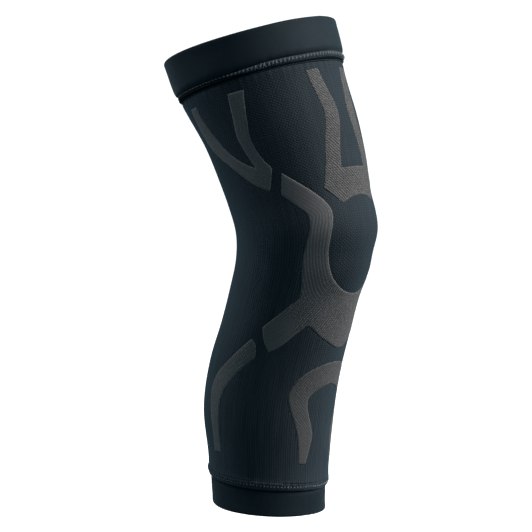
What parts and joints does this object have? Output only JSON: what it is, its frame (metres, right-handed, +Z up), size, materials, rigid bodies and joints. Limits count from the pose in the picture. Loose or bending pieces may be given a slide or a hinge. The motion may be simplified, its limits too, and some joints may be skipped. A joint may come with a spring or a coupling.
{
  "type": "knee sleeve",
  "caption": "Knitted compression sleeve in its form on a bent knee, dark with grey support zones and smooth doubled hems at thigh and calf.",
  "frame": {"origin": "middle of the hollow at kneecap height, inside the bent knee", "axes": "+Z up the leg towards the thigh, -Y the way the kneecap faces, +X the wearer's left"},
  "size_m": [0.1394, 0.1887, 0.4156],
  "materials": {
    "knit": "fine vertical rib knit, dark blue-black, matte",
    "zone_knit": "fine rib knit, warm grey, matte",
    "hem": "smooth doubled knit with a soft satin sheen",
    "seam": "overlocked seam with lighter stitches"
  },
  "bodies": {
    "root": {"sleeve_body": "knit", "thigh_fork": "zone_knit", "knee_cradle": "zone_knit", "shin_arch": "zone_knit", "thigh_v_left": "zone_knit", "thigh_v_right": "zone_knit", "calf_band_left": "zone_knit", "calf_band_right": "zone_knit", "top_band": "hem", "bottom_band": "hem", "top_seam": "seam", "bottom_seam": "seam"}
  },
  "joints": []
}
